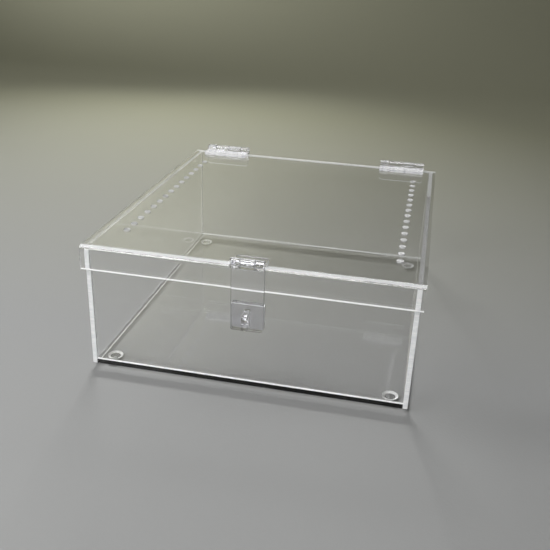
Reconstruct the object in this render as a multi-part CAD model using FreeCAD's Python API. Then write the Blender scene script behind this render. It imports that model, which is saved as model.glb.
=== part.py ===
import FreeCAD, Part
import math
import os

from FreeCAD import Vector

# Clear lidded box of cemented sheet, with moulded hinges and a padlock hasp.
# Millimetres, +Z up, +Y to the back, standing on the table at Z = 0.

# Sheet box
box_width = 305.0
box_depth = 346.0
wall_height = 120.0
sheet = 4.5
edge_break = 0.4

# Lid, with its front lip bent down from the same sheet
lid_overhang = 3.0
lid_gap = 0.3
lip_height = 19.0
lip_gap = 0.9
bend_radius = 1.0

# Vent holes, a row along each side of the lid
vent_diameter = 6.4
vent_count = 15
vent_pitch = 17.8
vent_side_inset = 25.4
vent_back_inset = 51.0

# Feet
foot_diameter = 15.0
foot_height = 3.0
foot_bevel = 2.5
foot_rim = 0.8
foot_inset = 17.0
foot_back_inset = 27.0

# Moulded leaves and barrels, shared by the hinges and the hasp
leaf_thickness = 2.8
leaf_corner = 3.0
knuckle_radius = 4.6
knuckle_gap = 0.4
knuckle_web = 1.5
barrel_clearance = 0.35
notch_clearance = 0.9
pin_radius = 2.0
pin_clearance = 0.05
pin_recess = 0.5

# Hinges
hinge_length = 54.0
hinge_end_knuckle = 10.6
hinge_reach = 23.0
hinge_side_inset = 15.0

# Hasp and its staple, set a little to the right of the middle
hasp_shift = 3.0
hasp_width = 30.0
hasp_end_knuckle = 8.2
hasp_lid_reach = 19.0
strap_reach = 66.0
strap_corner = 2.0
strap_gap = 0.3
slot_side_clearance = 0.9
slot_top_clearance = 1.2
slot_bottom_clearance = 1.0
slot_bar = 3.0
slot_corner = 1.0
plate_height = 26.0
plate_corner = 2.0
staple_thickness = 4.5
staple_height = 16.0
staple_corner = 4.0
staple_wall = 3.0
shackle_hole_diameter = 7.0
shackle_clearance = 1.0

# Places worked out from the sizes above
leaf_offset = (knuckle_radius + barrel_clearance) / math.sqrt(2)
barrel_reach = leaf_offset + knuckle_radius
lip_reach = lip_gap + sheet
staple_reach = strap_gap + leaf_thickness + shackle_clearance + shackle_hole_diameter + staple_wall
front_reach = lip_reach + max(staple_reach, strap_gap + barrel_reach)

half_width = box_width / 2
front_y = (front_reach - box_depth - barrel_reach) / 2
back_y = front_y + box_depth
lip_y = front_y - lip_reach
wall_bottom = foot_height
floor_top = wall_bottom + sheet
wall_top = wall_bottom + wall_height
lid_bottom = wall_top + lid_gap
lid_top = lid_bottom + sheet
lid_half_width = half_width + lid_overhang
axis_z = lid_top + leaf_offset
hinge_y = back_y + leaf_offset
hasp_y = lip_y - strap_gap - leaf_offset
strap_bottom = axis_z - strap_reach
slot_bottom = strap_bottom + slot_bar
staple_bottom = slot_bottom + slot_bottom_clearance
slot_top = staple_bottom + staple_height + slot_top_clearance

X_AXIS = Vector(1, 0, 0)
Y_AXIS = Vector(0, 1, 0)
Z_AXIS = Vector(0, 0, 1)
ORIGIN = Vector(0, 0, 0)


def block(low, high):
    """Box between two opposite corners."""
    return Part.makeBox(high[0] - low[0], high[1] - low[1], high[2] - low[2], Vector(*low))


def rod(radius, x_start, x_end):
    """Cylinder along the X axis."""
    return Part.makeCylinder(radius, x_end - x_start, Vector(x_start, 0, 0), X_AXIS)


def edges_along(shape, axis):
    """Edges parallel to an axis."""
    return [e for e in shape.Edges if e.tangentAt(e.FirstParameter).cross(axis).Length < 1e-6]


def prism(points, direction):
    """Solid swept from a flat outline."""
    outline = Part.makePolygon([Vector(*p) for p in points + points[:1]])
    return Part.Face(outline).extrude(direction)


def moved(shape, y, z, x=0.0):
    """Copy of a shape shifted to its place."""
    return shape.translated(Vector(x, y, z))


def side_wall(side):
    """Side wall over the full depth, with its outer edges broken."""
    inner = side * (half_width - sheet)
    outer = side * half_width
    wall = block((min(inner, outer), front_y, wall_bottom), (max(inner, outer), back_y, wall_top))
    outer_edges = [e for e in wall.Edges if abs(e.CenterOfMass.x - outer) < 1e-6]
    return wall.makeChamfer(edge_break, outer_edges)


def end_wall(y_low):
    """Front or back wall, standing on the bottom panel between the side walls."""
    reach = half_width - sheet
    return block((-reach, y_low, floor_top), (reach, y_low + sheet, wall_top))


def bottom_panel():
    """Bottom panel between the side walls, under the front and back walls."""
    reach = half_width - sheet
    return block((-reach, front_y, wall_bottom), (reach, back_y, floor_top))


def foot():
    """Soft round bumper with a bevelled tread, centred on the Z axis."""
    radius = foot_diameter / 2
    tread = Part.makeCone(radius - foot_bevel, radius, foot_height - foot_rim)
    rim = Part.makeCylinder(radius, foot_rim, Vector(0, 0, foot_height - foot_rim))
    return tread.fuse(rim).removeSplitter()


def edges_near(shape, y, z):
    """Edges along X at one place in the profile."""
    near = []
    for edge in edges_along(shape, X_AXIS):
        middle = edge.CenterOfMass
        if math.hypot(middle.y - y, middle.z - z) < 1e-6:
            near.append(edge)
    return near


def lid_panel():
    """Lid sheet bent down along its front edge into a lip, with a row of vent holes along each side."""
    lip_bottom = lid_bottom - lip_height
    panel = block((-lid_half_width, lip_y, lid_bottom), (lid_half_width, back_y, lid_top))
    lip = block((-lid_half_width, lip_y, lip_bottom), (lid_half_width, lip_y + sheet, lid_bottom))
    bent = panel.fuse(lip).removeSplitter()
    bent = bent.makeFillet(bend_radius + sheet, edges_near(bent, lip_y, lid_top))
    bent = bent.makeFillet(bend_radius, edges_near(bent, lip_y + sheet, lid_bottom))
    free_rims = edges_near(bent, back_y, lid_bottom) + edges_near(bent, back_y, lid_top)
    free_rims += edges_near(bent, lip_y, lip_bottom) + edges_near(bent, lip_y + sheet, lip_bottom)
    bent = bent.makeChamfer(edge_break, free_rims)
    row_x = lid_half_width - vent_side_inset
    holes = []
    for side in (-1, 1):
        for index in range(vent_count):
            centre = Vector(side * row_x, back_y - vent_back_inset - index * vent_pitch, lid_bottom)
            holes.append(Part.makeCylinder(vent_diameter / 2, sheet, centre, Z_AXIS))
    return bent.cut(holes)


def knuckle(x_start, x_end):
    """One barrel segment, webbed down to its leaf."""
    barrel = rod(knuckle_radius, x_start, x_end)
    leaf_top = leaf_thickness - leaf_offset
    toe = (-(knuckle_radius + knuckle_web), leaf_top)
    turn = math.atan2(toe[1], toe[0]) % (2 * math.pi) - math.acos(knuckle_radius / math.hypot(*toe))
    tangent = (knuckle_radius * math.cos(turn), knuckle_radius * math.sin(turn))
    outline = [toe, tangent, (0, 0), (0, -leaf_offset), (toe[0], -leaf_offset)]
    web = prism([(x_start, y, z) for y, z in outline], Vector(x_end - x_start, 0, 0))
    return barrel.fuse(web)


def leaf(length, reach, corner, spans):
    """Moulded leaf about an axis on X: plate towards -Y, seat facing -Z, knuckles at the given spans."""
    notch = knuckle_radius + notch_clearance
    plate = block((0, -reach, -leaf_offset), (length, -notch, leaf_thickness - leaf_offset))
    free_corners = [e for e in edges_along(plate, Z_AXIS) if e.CenterOfMass.y < -notch]
    plate = plate.makeFillet(corner, free_corners)
    joints = []
    for x_start, x_end in spans:
        joints.append(knuckle(x_start, x_end))
    solid = plate.fuse(joints).removeSplitter()
    return solid.cut(rod(pin_radius + pin_clearance, 0, length))


def hinge_leaf():
    """Hinge leaf centred on X. Turned end for end, the same leaf fills the other half of the barrel."""
    middle = hinge_length / 2
    half_gap = knuckle_gap / 2
    end_span = (0, hinge_end_knuckle - half_gap)
    inner_span = (middle + half_gap, hinge_length - hinge_end_knuckle - half_gap)
    spans = [end_span, inner_span]
    return moved(leaf(hinge_length, hinge_reach, leaf_corner, spans), 0, 0, -middle)


def hinge_wall_leaf():
    """The same leaf turned over on the corner's diagonal, so that it hangs with its seat to the front."""
    return hinge_leaf().rotated(ORIGIN, Vector(0, 1, 1), 180)


def hasp_lid_leaf():
    """Hasp leaf lying on the lid, with the middle knuckle."""
    half_gap = knuckle_gap / 2
    spans = [(hasp_end_knuckle + half_gap, hasp_width - hasp_end_knuckle - half_gap)]
    shape = moved(leaf(hasp_width, hasp_lid_reach, leaf_corner, spans), 0, 0, -hasp_width / 2)
    return shape.rotated(ORIGIN, Z_AXIS, 180)


def hasp_strap():
    """Hasp strap hanging from its two end knuckles, with a closed slot for the staple."""
    half_gap = knuckle_gap / 2
    spans = [(0, hasp_end_knuckle - half_gap), (hasp_width - hasp_end_knuckle + half_gap, hasp_width)]
    shape = moved(leaf(hasp_width, strap_reach, strap_corner, spans), 0, 0, -hasp_width / 2)
    shape = moved(shape.rotated(ORIGIN, X_AXIS, 90), hasp_y, axis_z)
    slot_half = staple_thickness / 2 + slot_side_clearance
    slot = block((-slot_half, hasp_y, slot_bottom), (slot_half, lip_y, slot_top))
    slot = slot.makeFillet(slot_corner, edges_along(slot, Y_AXIS))
    return shape.cut(slot)


def barrel_pin(length):
    """Pin through a barrel, a little short of its ends."""
    reach = length / 2 - pin_recess
    return rod(pin_radius, -reach, reach)


def staple_plate():
    """Block on the front wall that brings the staple out to the face of the lip."""
    low = (-hasp_width / 2, lip_y, strap_bottom)
    high = (hasp_width / 2, front_y, strap_bottom + plate_height)
    plate = block(low, high)
    plate = plate.makeFillet(plate_corner, edges_along(plate, Y_AXIS))
    face_edges = [e for e in plate.Edges if abs(e.CenterOfMass.y - lip_y) < 1e-6]
    return plate.makeChamfer(edge_break, face_edges)


def staple():
    """Fin that stands through the strap's slot, with a hole for the padlock's shackle."""
    half = staple_thickness / 2
    tip_y = lip_y - staple_reach
    fin = block((-half, tip_y, staple_bottom), (half, lip_y, staple_bottom + staple_height))
    tip_edges = [e for e in edges_along(fin, X_AXIS) if abs(e.CenterOfMass.y - tip_y) < 1e-6]
    fin = fin.makeFillet(staple_corner, tip_edges)
    hole_y = tip_y + staple_wall + shackle_hole_diameter / 2
    hole = rod(shackle_hole_diameter / 2, -half, half)
    return fin.cut(moved(hole, hole_y, staple_bottom + staple_height / 2))


def build():
    """Every sub-part by name, in its place."""
    parts = {
        "bottom_panel": bottom_panel(),
        "front_wall": end_wall(front_y),
        "back_wall": end_wall(back_y - sheet),
        "left_wall": side_wall(-1),
        "right_wall": side_wall(1),
        "lid_panel": lid_panel(),
        "hasp_lid_leaf": moved(hasp_lid_leaf(), hasp_y, axis_z, hasp_shift),
        "hasp_strap": moved(hasp_strap(), 0, 0, hasp_shift),
        "hasp_pin": moved(barrel_pin(hasp_width), hasp_y, axis_z, hasp_shift),
        "staple_plate": moved(staple_plate(), 0, 0, hasp_shift),
        "staple": moved(staple(), 0, 0, hasp_shift),
    }
    foot_x = half_width - foot_inset
    foot_rows = {"front": front_y + foot_inset, "back": back_y - foot_back_inset}
    hinge_x = lid_half_width - hinge_side_inset - hinge_length / 2
    for side, sign in (("left", -1), ("right", 1)):
        for row, y in foot_rows.items():
            parts[f"foot_{row}_{side}"] = moved(foot(), y, 0, sign * foot_x)
        parts[f"{side}_hinge_lid_leaf"] = moved(hinge_leaf(), hinge_y, axis_z, sign * hinge_x)
        parts[f"{side}_hinge_wall_leaf"] = moved(hinge_wall_leaf(), hinge_y, axis_z, sign * hinge_x)
        parts[f"{side}_hinge_pin"] = moved(barrel_pin(hinge_length), hinge_y, axis_z, sign * hinge_x)
    return parts


os.makedirs("parts", exist_ok=True)
for node, shape in build().items():
    shape.exportStep(f"parts/{node}.step")
print(f"hinge axis y {hinge_y:.3f} z {axis_z:.3f}, hasp axis y {hasp_y:.3f} z {axis_z:.3f}")
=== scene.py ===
import math

import bpy
from mathutils import Matrix, Vector


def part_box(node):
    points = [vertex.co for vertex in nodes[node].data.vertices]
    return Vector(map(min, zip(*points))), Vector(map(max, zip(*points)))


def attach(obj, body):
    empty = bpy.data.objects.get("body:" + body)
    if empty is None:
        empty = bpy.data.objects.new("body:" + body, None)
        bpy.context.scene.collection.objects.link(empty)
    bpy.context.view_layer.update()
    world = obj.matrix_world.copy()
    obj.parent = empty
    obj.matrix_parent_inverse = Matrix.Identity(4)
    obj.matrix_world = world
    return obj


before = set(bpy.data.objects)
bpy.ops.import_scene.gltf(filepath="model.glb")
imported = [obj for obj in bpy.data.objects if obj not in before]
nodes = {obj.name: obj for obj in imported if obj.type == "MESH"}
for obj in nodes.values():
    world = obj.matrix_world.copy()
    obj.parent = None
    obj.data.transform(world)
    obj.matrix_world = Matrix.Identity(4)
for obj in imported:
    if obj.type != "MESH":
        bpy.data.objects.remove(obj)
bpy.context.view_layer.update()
X, Y, Z = range(3)

# Camera: where it stands, how it is turned, and its lens
CAMERA_PLACE = (0.14085, -0.73869, 0.3855)
CAMERA_AZIMUTH = math.radians(-11.41)
CAMERA_DROP = math.radians(24.49)
CAMERA_ROLL = math.radians(2.22)
LENS_MM = 48.2
SENSOR_MM = 36.0

# Clear acrylic: how it bends light, and the share of the lamplight that a face lets through
ACRYLIC_IOR = 1.49
FACE_PASS = 0.99
FLOOR_PANEL_PASS = 0.97
# Edges that guide light inside the sheet go black with fewer bounces
LIGHT_BOUNCES = 64
# How far each piece draws back, so that no two faces of clear pieces coincide
CEMENT_FILM = 0.00002

# Colours that several surfaces share
WHITE = (1, 1, 1)
PALE = (0.96, 0.97, 0.97)
# Range of the marks over which a surface's roughness and its shade change
ROUGHNESS_MARKS = (0.35, 0.7)
SHADE_MARKS = (0.35, 0.65)
# Relief of rough surfaces, and of the flow marks in moulded ones
ROUGH_RELIEF = 0.0001
FLOW_RELIEF = 0.000015

# Tests of faces: how far a face's normal leans along an axis
SQUARE = 0.9
LEANING = 0.5
FOOT_FLAT = 0.95
HOLE_LEAN = 0.1
LEAF_LEAN = 0.2
BEND_SHOULDER = (0.75, 0.99)
# Tests of faces: how near a face lies to an edge of its piece
END_DEPTH = 0.0001
RIM_DEPTH = 0.001
LEAF_CORNER = 0.003
BARREL_DEPTH = 0.012
HOLE_MARGIN = 0.02

# Cement squeezed out of the joints, and the swell that makes it uneven: height and length of waves
BEAD_LEG = 0.0008
THIN_LEG = 0.0004
RIDGE_WIDTH = 0.0014
RIDGE_WIDTH_TO_RISE = 3
RIDGE_INSET = 0.0014
BEAD_STEPS = 4
BEAD_PITCH = 0.002
MEAN_SWELL = 0.8
SWELL_WAVES = ((0.12, 0.0031), (0.08, 0.0017))

# Studio: paper that sweeps up behind the box, and even light from all round
FLOOR_COLOUR = (0.32, 0.323, 0.32)
BACKDROP_COLOUR = (0.35, 0.35, 0.255)
FLOOR_BLEND = (-0.1, 1.0)
PAPER_ROUGHNESS = 0.9
GRAIN_SCALE = 350.0
GRAIN_RELIEF = 0.0002
FLOOR_HALF_WIDTH = 5.0
FLOOR_FRONT = -6.0
SWEEP_START = 1.5
SWEEP_RADIUS = 0.9
SWEEP_TOP = 3.2
SWEEP_STEPS = 24
WORLD_LEVEL = 0.08


def start_material(name):
    """New material with an empty node tree."""
    material = bpy.data.materials.new(name)
    material.use_nodes = True
    material.node_tree.nodes.clear()
    return material, material.node_tree


def node(tree, kind, settings=None, sockets=None):
    """New node with its settings and plain socket values."""
    made = tree.nodes.new(kind)
    for key, value in (settings or {}).items():
        setattr(made, key, value)
    for key, value in (sockets or {}).items():
        made.inputs[key].default_value = value
    return made


def ramp_between(tree, source, low, high, out_low=0.0, out_high=1.0):
    """Maps a value range to another, clamped."""
    made = node(tree, "ShaderNodeMapRange", {"clamp": True}, {
        "From Min": low, "From Max": high, "To Min": out_low, "To Max": out_high,
    })
    tree.links.new(source, made.inputs["Value"])
    return made.outputs["Result"]


def blend_between(tree, factor, low, high):
    """Colour between two others."""
    made = node(tree, "ShaderNodeMix", {"data_type": "RGBA"}, {"A": (*low, 1), "B": (*high, 1)})
    tree.links.new(factor, made.inputs["Factor"])
    return made.outputs["Result"]


def noise(tree, scale, detail=3.0, stretch=(1, 1, 1)):
    """Noise over the object, in its own frame."""
    place = node(tree, "ShaderNodeTexCoord")
    mapping = node(tree, "ShaderNodeMapping", None, {"Scale": stretch})
    made = node(tree, "ShaderNodeTexNoise", None, {"Scale": scale, "Detail": detail})
    tree.links.new(place.outputs["Object"], mapping.inputs["Vector"])
    tree.links.new(mapping.outputs["Vector"], made.inputs["Vector"])
    return made.outputs["Fac"]


def bump(tree, height, distance):
    """Normal bent by a height in metres."""
    made = node(tree, "ShaderNodeBump", None, {"Strength": 1.0, "Distance": distance})
    tree.links.new(height, made.inputs["Height"])
    return made.outputs["Normal"]


def let_through(tree, surface, share):
    """Surface that lets a share of the lamplight pass straight through."""
    path = node(tree, "ShaderNodeLightPath")
    straight = node(tree, "ShaderNodeBsdfTransparent", None, {"Color": (share, share, share, 1)})
    for ray in ("Is Diffuse Ray", "Is Shadow Ray"):
        mix = node(tree, "ShaderNodeMixShader")
        tree.links.new(path.outputs[ray], mix.inputs["Fac"])
        tree.links.new(surface, mix.inputs[1])
        tree.links.new(straight.outputs["BSDF"], mix.inputs[2])
        surface = mix.outputs["Shader"]
    return surface


def link_output(tree, surface):
    """Links a surface to the material's output."""
    output = node(tree, "ShaderNodeOutputMaterial")
    tree.links.new(surface, output.inputs["Surface"])


def acrylic(name, colour, transmission, roughness, marks,
            relief=None, shades=None, passes=None, specular=None):
    """Acrylic surface whose roughness follows fine marks, as do its relief and shades, if any.

    It may pass a share of the lamplight, and have its own specular level.
    """
    material, tree = start_material(name)
    shader = node(tree, "ShaderNodeBsdfPrincipled", None, {
        "Base Color": (*colour, 1), "Transmission Weight": transmission, "IOR": ACRYLIC_IOR,
    })
    pattern = noise(tree, **marks)
    rough = ramp_between(tree, pattern, *ROUGHNESS_MARKS, *roughness)
    tree.links.new(rough, shader.inputs["Roughness"])
    if relief is not None:
        tree.links.new(bump(tree, pattern, relief), shader.inputs["Normal"])
    if shades is not None:
        shade = blend_between(tree, ramp_between(tree, pattern, *SHADE_MARKS), *shades)
        tree.links.new(shade, shader.inputs["Base Color"])
    if specular is not None:
        shader.inputs["Specular IOR Level"].default_value = specular
    surface = shader.outputs["BSDF"]
    if passes is not None:
        surface = let_through(tree, surface, passes)
    link_output(tree, surface)
    return material


def floor_paper():
    """Matt grey paper of the sweep, a little warmer towards the back, with a fine grain."""
    material, tree = start_material("studio_paper")
    shader = node(tree, "ShaderNodeBsdfPrincipled", None, {"Roughness": PAPER_ROUGHNESS})
    place = node(tree, "ShaderNodeTexCoord")
    split = node(tree, "ShaderNodeSeparateXYZ")
    tree.links.new(place.outputs["Object"], split.inputs["Vector"])
    towards_back = ramp_between(tree, split.outputs["Y"], *FLOOR_BLEND)
    colour = blend_between(tree, towards_back, FLOOR_COLOUR, BACKDROP_COLOUR)
    tree.links.new(colour, shader.inputs["Base Color"])
    grain = bump(tree, noise(tree, GRAIN_SCALE), GRAIN_RELIEF)
    tree.links.new(grain, shader.inputs["Normal"])
    link_output(tree, shader.outputs["BSDF"])
    return material


# Polished faces of the sheet, with faint hazy smears
POLISHED = acrylic(
    "acrylic_polished", WHITE, transmission=1.0, roughness=(0.0, 0.04),
    marks={"scale": 14.0, "detail": 4.0}, passes=FACE_PASS,
)
# The same sheet as the bottom, which throws a deeper shadow
FLOOR_PANEL = acrylic(
    "acrylic_floor_panel", WHITE, transmission=1.0, roughness=(0.0, 0.05),
    marks={"scale": 14.0, "detail": 4.0}, passes=FLOOR_PANEL_PASS,
)
# Painted highlight: near-white on the shoulder of the lid's line bend and on the upper bevel of the
# staple's plate, standing for the bright band of light along them
PAINTED_HIGHLIGHT = acrylic(
    "acrylic_painted_highlight", WHITE, transmission=0.05, roughness=(0.05, 0.15),
    marks={"scale": 40.0, "detail": 4.0}, shades=((0.85, 0.86, 0.87), WHITE), passes=FACE_PASS,
)
# Sawn edges left frosty, with saw marks across them
SAWN = acrylic(
    "acrylic_sawn", PALE, transmission=0.1, roughness=(0.4, 0.6),
    marks={"scale": 700.0, "stretch": (0.1, 0.1, 1)}, relief=ROUGH_RELIEF,
    shades=((0.82, 0.84, 0.85), (0.98, 0.98, 0.98)),
)
# Sawn lower edges of the side walls, tinted dark grey as painted shade where they face the shadow
# under the box
SHADED_LOWER_EDGE = acrylic(
    "acrylic_shaded_lower_edge", PALE, transmission=0.1, roughness=(0.4, 0.6),
    marks={"scale": 400.0}, relief=ROUGH_RELIEF, shades=((0.3, 0.3, 0.31), (0.45, 0.45, 0.46)),
)
# Sawn rim of the lid and its lip, frosty white and bright with light from inside the sheet; on the
# ends of the moulded leaves the same white is a painted glint
RIM_AND_GLINT = acrylic(
    "acrylic_rim_and_glint", WHITE, transmission=0.1, roughness=(0.35, 0.55),
    marks={"scale": 500.0}, relief=ROUGH_RELIEF,
)
# Scraped edges, and the upper edges of the side walls, scraped smoother
SCRAPED = acrylic(
    "acrylic_scraped", PALE, transmission=0.55, roughness=(0.2, 0.3),
    marks={"scale": 300.0}, passes=FACE_PASS,
)
SMOOTHED = acrylic(
    "acrylic_smoothed", PALE, transmission=0.88, roughness=(0.1, 0.2),
    marks={"scale": 300.0}, passes=FACE_PASS,
)
# Cemented lower edges of the front and back walls, streaked with fine bubbles
CEMENTED = acrylic(
    "acrylic_cemented", PALE, transmission=0.15, roughness=(0.3, 0.6),
    marks={"scale": 220.0}, relief=ROUGH_RELIEF, shades=((0.75, 0.77, 0.78), WHITE),
)
# Cement that squeezed out of the joints, whitish where there is much of it
BEAD = acrylic(
    "cement_bead", WHITE, transmission=0.15, roughness=(0.05, 0.25),
    marks={"scale": 500.0}, relief=ROUGH_RELIEF,
)
CLEAR_BEAD = acrylic(
    "cement_clear", PALE, transmission=0.8, roughness=(0.02, 0.15),
    marks={"scale": 500.0}, passes=FACE_PASS,
)
# Front and back edges of the bottom, tinted nearly black as painted shade of the shadow under the
# box seen through them; they also help to throw that shadow
PAINTED_SHADE_EDGE = acrylic(
    "acrylic_painted_shade_edge", (0.02, 0.02, 0.02), transmission=1.0, roughness=(0.0, 0.08),
    marks={"scale": 90.0},
)
# Walls of the drilled holes
DRILLED = acrylic(
    "acrylic_drilled", WHITE, transmission=0.64, roughness=(0.05, 0.2), marks={"scale": 900.0},
)
# Moulded hinge and hasp pieces, with slight flow marks
MOULDED = acrylic(
    "acrylic_moulded", (0.98, 0.98, 1.0), transmission=1.0, roughness=(0.01, 0.06),
    marks={"scale": 160.0}, relief=FLOW_RELIEF, passes=FACE_PASS,
)
# Side edges of the strap, and the inner ends of the knuckles, tinted dark as painted shade for the
# dark lines along them
MOULDED_SHADE_EDGE = acrylic(
    "acrylic_moulded_shade_edge", (0.35, 0.36, 0.4), transmission=1.0, roughness=(0.02, 0.1),
    marks={"scale": 160.0}, passes=FACE_PASS,
)
# Block behind the strap, tinted grey as painted shade
SHADED_BLOCK = acrylic(
    "acrylic_shaded_block", (0.9, 0.9, 0.93), transmission=1.0, roughness=(0.01, 0.08),
    marks={"scale": 160.0}, passes=FACE_PASS,
)
# Cement under the hinge leaves on the lid, mottled with trapped bubbles
GLUED = acrylic(
    "acrylic_glued", PALE, transmission=0.2, roughness=(0.2, 0.5),
    marks={"scale": 260.0, "detail": 4.0}, relief=ROUGH_RELIEF, shades=((0.55, 0.55, 0.6), WHITE),
)
# Soft clear bumpers, the tread tinted dark as painted shade where the foot meets the floor, and the
# rim and bevel white as a painted highlight ring
RUBBER = acrylic(
    "clear_rubber", PALE, transmission=1.0, roughness=(0.0, 0.1),
    marks={"scale": 300.0}, passes=FACE_PASS,
)
TREAD_SHADE = acrylic(
    "rubber_tread_shade", (0.25, 0.25, 0.25), transmission=0.5, roughness=(0.1, 0.3),
    marks={"scale": 300.0}, passes=FACE_PASS,
)
BUMPER_HIGHLIGHT = acrylic(
    "rubber_highlight", WHITE, transmission=0.0, roughness=(0.05, 0.2),
    marks={"scale": 300.0}, specular=0.0,
)


def dress(name, main, others=()):
    """Gives a CAD node its materials: the main one, and others on the faces that pass a test."""
    mesh = nodes[name].data
    mesh.materials.clear()
    mesh.materials.append(main)
    for index, (material, test) in enumerate(others, start=1):
        mesh.materials.append(material)
        for face in mesh.polygons:
            if test(face):
                face.material_index = index
    film = nodes[name].modifiers.new("cement_film", "DISPLACE")
    film.strength = -CEMENT_FILM
    film.mid_level = 0.0


def facing(axis, sign=0):
    """Test for faces square to an axis, on one side of it or on both."""
    return lambda face: (face.normal[axis] * sign if sign else abs(face.normal[axis])) > SQUARE


def upright_edge(face):
    """The upright sawn edges of a side wall, with their broken corners."""
    return abs(face.normal[Y]) > LEANING


def plate_bevel_highlight(face):
    """The upper bevel on the front of the staple's plate, where a highlight is painted."""
    return face.normal[Y] < -LEANING and face.normal[Z] > LEANING


def foot_side_highlight(face):
    """The rim and the bevel of a foot, where a highlight is painted."""
    return abs(face.normal[Z]) < FOOT_FLAT


lid_low, lid_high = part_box("lid_panel")


def lid_rim(face):
    """The lid's sawn back edge and the edge of its lip, with their broken corners."""
    at_back = face.normal[Y] > LEANING and face.center[Y] > lid_high[Y] - RIM_DEPTH
    at_lip = face.normal[Z] < -LEANING and face.center[Z] < lid_low[Z] + RIM_DEPTH
    return at_back or at_lip


def lid_hole(face):
    """The walls of the drilled holes, away from the lid's rim."""
    inside = lid_low[Y] + HOLE_MARGIN < face.center[Y] < lid_high[Y] - HOLE_MARGIN
    off_sides = abs(face.center[X]) < lid_high[X] - RIM_DEPTH
    return inside and off_sides and abs(face.normal[Z]) < HOLE_LEAN


def lid_bend_highlight(face):
    """The shoulder of the rounded outer corner of the bend, where a highlight is painted."""
    least, most = BEND_SHOULDER
    return least < face.normal[Z] < most and face.normal[Y] < 0


def between_ends(name):
    """Test for a leaf's faces square to X away from its two ends: the inner ends of its knuckles."""
    leaf_low, leaf_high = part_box(name)
    middle = (leaf_low[X] + leaf_high[X]) / 2
    reach = leaf_high[X] - middle - END_DEPTH
    return lambda face: abs(face.normal[X]) > SQUARE and abs(face.center[X] - middle) < reach


def leaf_end_glint(name):
    """Test for the free lower end of a wall leaf, with its rounded corners, where a glint is
    painted.
    """
    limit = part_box(name)[0][Z] + LEAF_CORNER
    return lambda face: face.normal[Z] < -LEAF_LEAN and face.center[Z] < limit


strap_low, strap_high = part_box("hasp_strap")


def strap_edge(face):
    """The long side edges of the strap, below its barrel."""
    to_end = min(face.center[X] - strap_low[X], strap_high[X] - face.center[X])
    return to_end < END_DEPTH and face.center[Z] < strap_high[Z] - BARREL_DEPTH


# Side walls: lower edges tinted dark grey as painted shade
for wall in ("left_wall", "right_wall"):
    dress(wall, POLISHED, [(SAWN, upright_edge), (SMOOTHED, facing(Z, 1)), (SHADED_LOWER_EDGE, facing(Z, -1))])
for wall in ("front_wall", "back_wall"):
    dress(wall, POLISHED, [(SAWN, facing(Z, 1)), (SCRAPED, facing(X)), (CEMENTED, facing(Z, -1))])
# Bottom: front and back edges tinted nearly black as painted shade
dress("bottom_panel", FLOOR_PANEL, [(SCRAPED, facing(X)), (PAINTED_SHADE_EDGE, facing(Y))])
# Lid: frosty sawn rim, drilled holes, and a painted highlight on the shoulder of the bend
dress("lid_panel", POLISHED, [
    (SCRAPED, facing(X)), (RIM_AND_GLINT, lid_rim), (DRILLED, lid_hole), (PAINTED_HIGHLIGHT, lid_bend_highlight),
])
# Staple's plate: tinted grey as painted shade, with a painted highlight on its upper bevel
dress("staple_plate", SHADED_BLOCK, [(PAINTED_HIGHLIGHT, plate_bevel_highlight)])
dress("staple", MOULDED)
# Hasp's strap: long side edges tinted dark as painted shade
dress("hasp_strap", MOULDED, [(MOULDED_SHADE_EDGE, strap_edge)])
# Hasp's lid leaf: white side ends as a painted glint, and the inner ends of its knuckle tinted dark
# as painted shade
dress("hasp_lid_leaf", MOULDED, [(RIM_AND_GLINT, facing(X)), (MOULDED_SHADE_EDGE, between_ends("hasp_lid_leaf"))])
for name in nodes:
    # Hinge leaves: the inner ends of the knuckles tinted dark as painted shade
    if name.endswith("_hinge_lid_leaf"):
        dress(name, MOULDED, [(GLUED, facing(Z, -1)), (MOULDED_SHADE_EDGE, between_ends(name))])
    # Wall leaves: their free lower ends get the painted glint
    elif name.endswith("_hinge_wall_leaf"):
        dress(name, MOULDED, [(MOULDED_SHADE_EDGE, between_ends(name)), (RIM_AND_GLINT, leaf_end_glint(name))])
    elif name.endswith("_pin"):
        dress(name, MOULDED, [(SAWN, facing(X))])
    # Feet: painted shade on the tread, and a painted highlight on the rim and bevel
    elif name.startswith("foot_"):
        dress(name, RUBBER, [(BUMPER_HIGHLIGHT, foot_side_highlight), (TREAD_SHADE, facing(Z, -1))])


def fillet(leg):
    """Outline of a concave bead in a corner, out from the corner and up."""
    outline = [(0.0, 0.0)]
    for step in range(BEAD_STEPS + 1):
        turn = math.pi / 2 * step / BEAD_STEPS
        outline.append((leg * (1 - math.sin(turn)), leg * (1 - math.cos(turn))))
    return outline


def ridge(width):
    """Outline of a low round bead on a flat face."""
    steps = 2 * BEAD_STEPS
    outline = []
    for step in range(steps + 1):
        turn = math.pi * step / steps
        rise = width / RIDGE_WIDTH_TO_RISE * math.sin(turn)
        outline.append((width / 2 * (1 + math.cos(turn)), rise))
    return outline


def along(start, end):
    """Points along a straight joint."""
    start = Vector(start)
    end = Vector(end)
    count = max(1, round((end - start).length / BEAD_PITCH))
    return [start.lerp(end, index / count) for index in range(count + 1)]


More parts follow.
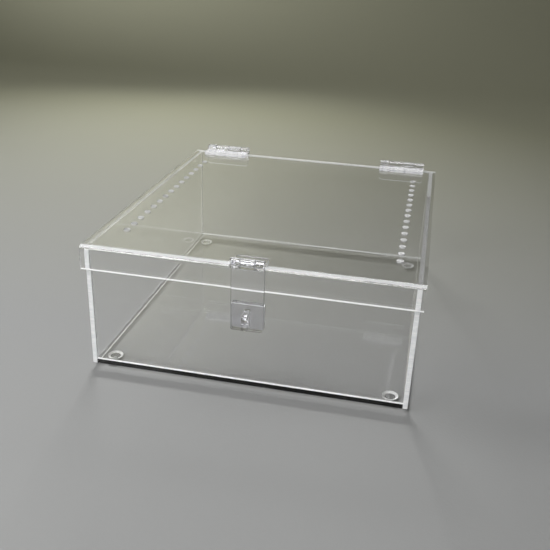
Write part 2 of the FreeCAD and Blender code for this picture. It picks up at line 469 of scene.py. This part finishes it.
def cement_bead(name, path, normal, outline, material):
    """Uneven bead of cement on a sheet with this normal, on the right of a path along a joint."""
    normal = Vector(normal)
    verts = []
    run = 0.0
    for index, point in enumerate(path):
        before = path[max(index - 1, 0)]
        after = path[min(index + 1, len(path) - 1)]
        run += (point - before).length
        swell = MEAN_SWELL
        for height, length in SWELL_WAVES:
            swell += height * math.sin(run / length)
        aside = (after - before).normalized().cross(normal)
        verts += [point + swell * (aside * out + normal * up) for out, up in outline]
    count = len(outline)
    last = len(verts) - count
    faces = [tuple(range(count - 1, -1, -1)), tuple(range(last, last + count))]
    for ring in range(0, last, count):
        for index in range(count):
            here = ring + index
            beside = ring + (index + 1) % count
            faces.append((here, beside, beside + count, here + count))
    mesh = bpy.data.meshes.new(name)
    mesh.from_pydata(verts, [], faces)
    mesh.materials.append(material)
    bead = bpy.data.objects.new(name, mesh)
    bpy.context.collection.objects.link(bead)
    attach(bead, "box")


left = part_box("left_wall")[1][X]
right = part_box("right_wall")[0][X]
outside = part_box("front_wall")[0][Y]
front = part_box("front_wall")[1][Y]
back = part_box("back_wall")[0][Y]
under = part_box("bottom_panel")[0][Z]
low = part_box("bottom_panel")[1][Z]
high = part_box("back_wall")[1][Z] - THIN_LEG
UP = (0, 0, 1)
DOWN = (0, 0, -1)
TO_RIGHT = (1, 0, 0)
TO_LEFT = (-1, 0, 0)

# Whitish cement that ran out along the back and under the left side
back_path = along((left, back, low), (right, back, low))
cement_bead("cement_back", back_path, UP, fillet(BEAD_LEG), BEAD)
ridge_x = left + RIDGE_INSET
ridge_path = along((ridge_x, back, under), (ridge_x, outside, under))
cement_bead("cement_under_left", ridge_path, DOWN, ridge(RIDGE_WIDTH), BEAD)
# Clear thin beads along the sides and up the inner corners
CLEAR_PATHS = {
    "left": ((left, front, low), (left, back, low), UP),
    "right": ((right, back, low), (right, front, low), UP),
    "back_left": ((left, back, high), (left, back, low), TO_RIGHT),
    "back_right": ((right, back, low), (right, back, high), TO_LEFT),
    "front_left": ((left, front, low), (left, front, high), TO_RIGHT),
    "front_right": ((right, front, high), (right, front, low), TO_LEFT),
}
for corner, (start, end, normal) in CLEAR_PATHS.items():
    cement_bead(f"cement_{corner}", along(start, end), normal, fillet(THIN_LEG), CLEAR_BEAD)


def make_sweep():
    """Floor that curves up into a backdrop."""
    profile = [(FLOOR_FRONT, 0.0), (SWEEP_START, 0.0)]
    for step in range(1, SWEEP_STEPS + 1):
        turn = math.pi / 2 * step / SWEEP_STEPS
        y = SWEEP_START + SWEEP_RADIUS * math.sin(turn)
        profile.append((y, SWEEP_RADIUS * (1 - math.cos(turn))))
    profile.append((profile[-1][0], SWEEP_TOP))
    verts = []
    faces = []
    for y, z in profile:
        verts.append((-FLOOR_HALF_WIDTH, y, z))
        verts.append((FLOOR_HALF_WIDTH, y, z))
    for row in range(len(profile) - 1):
        first = 2 * row
        faces.append((first, first + 1, first + 3, first + 2))
    mesh = bpy.data.meshes.new("studio_sweep")
    mesh.from_pydata(verts, [], faces)
    mesh.shade_smooth()
    sweep = bpy.data.objects.new("studio_sweep", mesh)
    bpy.context.collection.objects.link(sweep)
    mesh.materials.append(floor_paper())


def softbox(name, place, target, size, watts, spread=180.0, mirrored=True):
    """Rectangular lamp aimed at a point. It may be held to a beam, and kept out of reflections."""
    lamp = bpy.data.lights.new(name, "AREA")
    lamp.shape = "RECTANGLE"
    lamp.size, lamp.size_y = size
    lamp.energy = watts
    lamp.spread = math.radians(spread)
    holder = bpy.data.objects.new(name, lamp)
    holder.location = place
    aim = Vector(target) - Vector(place)
    holder.rotation_euler = aim.to_track_quat("-Z", "Y").to_euler()
    holder.visible_camera = False
    holder.visible_glossy = mirrored
    holder.visible_transmission = mirrored
    bpy.context.collection.objects.link(holder)


def make_world():
    """Faint even light from all round."""
    world = bpy.data.worlds.new("studio_world")
    world.use_nodes = True
    background = world.node_tree.nodes["Background"]
    background.inputs["Strength"].default_value = WORLD_LEVEL
    background.inputs["Color"].default_value = (*WHITE, 1)
    bpy.context.scene.world = world


def make_camera():
    """Camera at the photograph's viewpoint."""
    camera = bpy.data.cameras.new("camera")
    camera.lens = LENS_MM
    camera.sensor_width = SENSOR_MM
    holder = bpy.data.objects.new("camera", camera)
    turn = Matrix.Rotation(-CAMERA_AZIMUTH, 4, "Z")
    tilt = Matrix.Rotation(math.pi / 2 - CAMERA_DROP, 4, "X")
    roll = Matrix.Rotation(CAMERA_ROLL, 4, "Z")
    holder.matrix_world = Matrix.Translation(CAMERA_PLACE) @ turn @ tilt @ roll
    bpy.context.collection.objects.link(holder)
    bpy.context.scene.camera = holder


make_sweep()
make_world()
make_camera()
# From the front: the main light high on the left, and a low one to either side
softbox(
    "softbox_top", place=(-0.7, -0.95, 1.1), target=(-0.45, -0.8, 0),
    size=(1.0, 0.8), watts=15.0,
)
softbox(
    "softbox_left", place=(-1.1, -1.5, 0.45), target=(0, 0, 0.08),
    size=(0.6, 0.5), watts=7.0, mirrored=False,
)
softbox(
    "softbox_right", place=(1.1, -1.5, 0.45), target=(0, 0, 0.08),
    size=(0.6, 0.5), watts=6.0, mirrored=False,
)
# From behind: one that shows in the barrels, and a low one that throws the shadows forward
softbox(
    "softbox_back", place=(-0.3, 1.5, 1.6), target=(0, 0, 0.1),
    size=(1.6, 0.22), watts=7.5,
)
softbox(
    "softbox_low", place=(-0.85, 2.1, 0.85), target=(-0.18, -0.15, 0),
    size=(0.8, 0.14), watts=5.4, spread=48.0, mirrored=False,
)
# On the backdrop, which the lid and the bottom mirror
softbox(
    "softbox_backdrop", place=(-1.4, 1.5, 1.9), target=(-1.15, 2.4, 1.0),
    size=(0.8, 0.5), watts=7.0, spread=80.0,
)

scene = bpy.context.scene
scene.view_settings.view_transform = "Standard"
for limit in ("max_bounces", "glossy_bounces", "transmission_bounces", "transparent_max_bounces"):
    setattr(scene.cycles, limit, LIGHT_BOUNCES)
